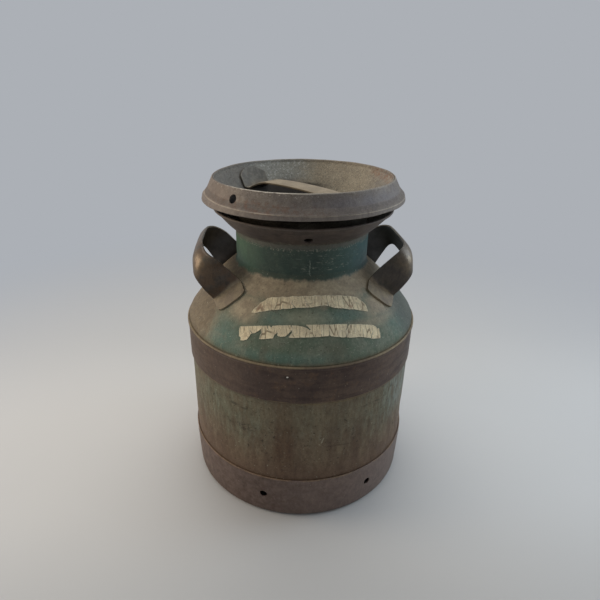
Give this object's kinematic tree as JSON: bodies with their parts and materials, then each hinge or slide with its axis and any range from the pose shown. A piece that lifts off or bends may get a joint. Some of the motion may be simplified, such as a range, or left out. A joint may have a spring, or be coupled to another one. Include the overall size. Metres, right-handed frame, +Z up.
{
  "type": "milk can",
  "caption": "Sheet-steel milk can with a hooped cylindrical body, sloping shoulder, flared mouth, two strap side handles and a lift-out plug lid with a recessed strap handle.",
  "frame": {"origin": "centre of the foot ring's underside, on the can's vertical axis", "axes": "+Z up along the can's axis; the two side handles stand at +X and -X; the small hole in the mouth bowl faces -Y, the front"},
  "size_m": [0.3256, 0.3256, 0.4386],
  "materials": {
    "body_paint": "worn olive-brown paint over steel, vertical streaks, satin to matt",
    "hoop_steel": "dark brown aged paint and rust patina, satin",
    "breast_paint": "worn green paint under tan dust, matt",
    "neck_paint": "dark green paint, chipped and scratched, satin",
    "bowl_steel": "brown patina with paint chips, satin",
    "pan_tin": "dull tinned steel",
    "handle_steel": "dark brown patina, worn tan on the outer bends",
    "lid_tin": "dull grey-brown tinned steel, chipped pale at the rim",
    "dish_tin": "pitted, speckled tinned steel",
    "lid_strap": "dusty tan steel",
    "aged_paper": "cream paper, cracked and torn"
  },
  "bodies": {
    "can": {"body_shell": "body_paint", "bottom_pan": "pan_tin", "foot_ring": "hoop_steel", "breast_band": "hoop_steel", "breast": "breast_paint", "neck_tube": "neck_paint", "mouth_bowl": "bowl_steel", "handle_left": "handle_steel", "handle_right": "handle_steel", "paper_strip_upper": "aged_paper", "paper_strip_lower": "aged_paper"},
    "lid": {"lid_cover": "lid_tin", "lid_dish": "dish_tin", "lid_handle": "lid_strap"}
  },
  "joints": [
    {"name": "lid_lift", "type": "slide", "parent": "can", "child": "lid", "axis": [0, 0, 1], "range_m": [0, 0.12]}
  ]
}
